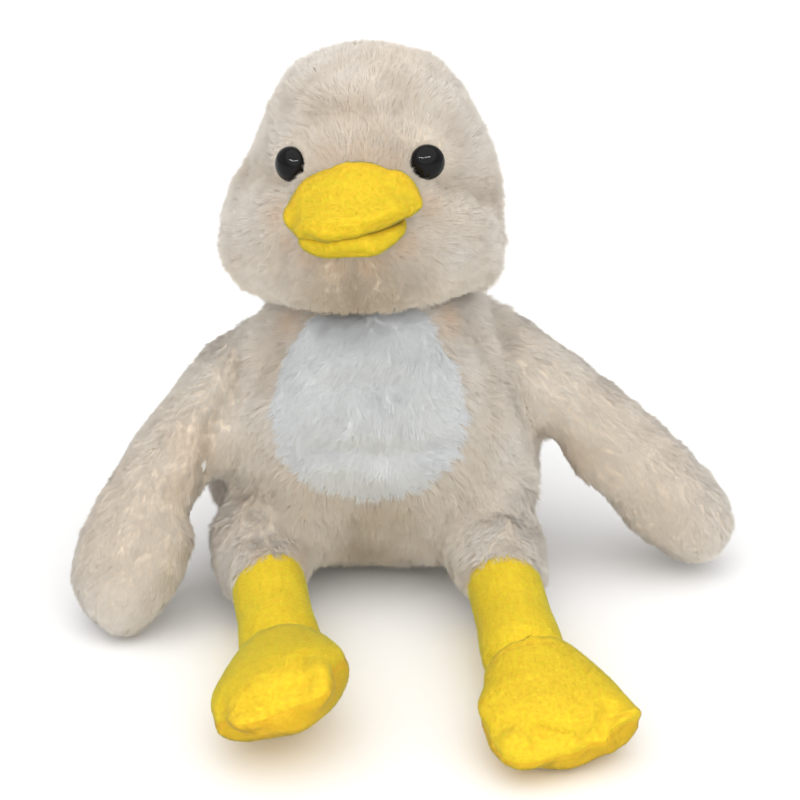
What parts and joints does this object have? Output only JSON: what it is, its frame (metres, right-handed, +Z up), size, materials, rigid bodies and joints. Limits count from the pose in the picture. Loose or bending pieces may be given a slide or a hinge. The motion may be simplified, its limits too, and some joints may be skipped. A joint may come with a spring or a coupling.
{
  "type": "plush duck",
  "caption": "Seated stuffed duck with a long-pile fur body, padded fabric beak, legs and webbed feet; head, arms, legs and feet turn at their seams.",
  "frame": {"origin": "middle of the flat seat that the body rests on", "axes": "+Z up, the toy faces -Y, +X is the toy's own left"},
  "size_m": [0.3205, 0.2696, 0.2567],
  "materials": {
    "fur": "matte",
    "fur_back": "matte",
    "white_fur": "matte",
    "velour": "matte",
    "velour_sole": "matte",
    "stuffing": "matte",
    "eye_black": "gloss",
    "washer": "satin"
  },
  "bodies": {
    "torso": {"torso_cover_front_left": "fur", "torso_cover_front_right": "fur", "torso_cover_back": "fur_back", "belly_patch": "white_fur", "torso_stuffing": "stuffing"},
    "head": {"head_cover_front_left": "fur", "head_cover_front_right": "fur", "head_cover_back": "fur_back", "head_stuffing": "stuffing", "eye_left": "eye_black", "eye_right": "eye_black", "eye_washer_left": "washer", "eye_washer_right": "washer", "beak_upper_cover": "velour", "beak_upper_stuffing": "stuffing", "beak_lower_cover": "velour", "beak_lower_stuffing": "stuffing"},
    "arm_left": {"arm_left_cover_front": "fur", "arm_left_cover_back": "fur_back", "arm_left_stuffing": "stuffing"},
    "arm_right": {"arm_right_cover_front": "fur", "arm_right_cover_back": "fur_back", "arm_right_stuffing": "stuffing"},
    "leg_left": {"thigh_left_cover": "fur", "shank_left_cover": "velour", "leg_left_stuffing": "stuffing"},
    "leg_right": {"thigh_right_cover": "fur", "shank_right_cover": "velour", "leg_right_stuffing": "stuffing"},
    "foot_left": {"foot_left_top": "velour", "foot_left_sole": "velour_sole", "foot_left_stuffing": "stuffing"},
    "foot_right": {"foot_right_top": "velour", "foot_right_sole": "velour_sole", "foot_right_stuffing": "stuffing"}
  },
  "joints": [
    {"name": "neck_turn", "type": "hinge", "parent": "torso", "child": "head", "pos_m": [-0.003, 0, 0.152], "axis": [0, 0, 1], "range_deg": [-25, 25], "stiffness_Nm_per_rad": 0.08},
    {"name": "shoulder_left_lift", "type": "hinge", "parent": "torso", "child": "arm_left", "pos_m": [0.06, 0.003, 0.134], "axis": [-0.2079, -0.9781, 0], "range_deg": [0, 60]},
    {"name": "shoulder_right_lift", "type": "hinge", "parent": "torso", "child": "arm_right", "pos_m": [-0.06, 0.003, 0.134], "axis": [-0.788, 0.6157, 0], "range_deg": [0, 60]},
    {"name": "hip_left_lift", "type": "hinge", "parent": "torso", "child": "leg_left", "pos_m": [0.055, -0.045, 0.029], "axis": [-0.9936, -0.1132, 0], "range_deg": [-75, 15]},
    {"name": "hip_right_lift", "type": "hinge", "parent": "torso", "child": "leg_right", "pos_m": [-0.055, -0.045, 0.029], "axis": [-0.9848, -0.1736, 0], "range_deg": [-75, 15]},
    {"name": "ankle_left_flex", "type": "hinge", "parent": "leg_left", "child": "foot_left", "pos_m": [0.06504, -0.13309, 0.02124], "axis": [-0.9936, -0.1132, 0], "range_deg": [-25, 25], "stiffness_Nm_per_rad": 0.03},
    {"name": "ankle_right_flex", "type": "hinge", "parent": "leg_right", "child": "foot_right", "pos_m": [-0.0396, -0.13231, 0.02124], "axis": [-0.9848, -0.1736, 0], "range_deg": [-25, 25], "stiffness_Nm_per_rad": 0.03}
  ]
}
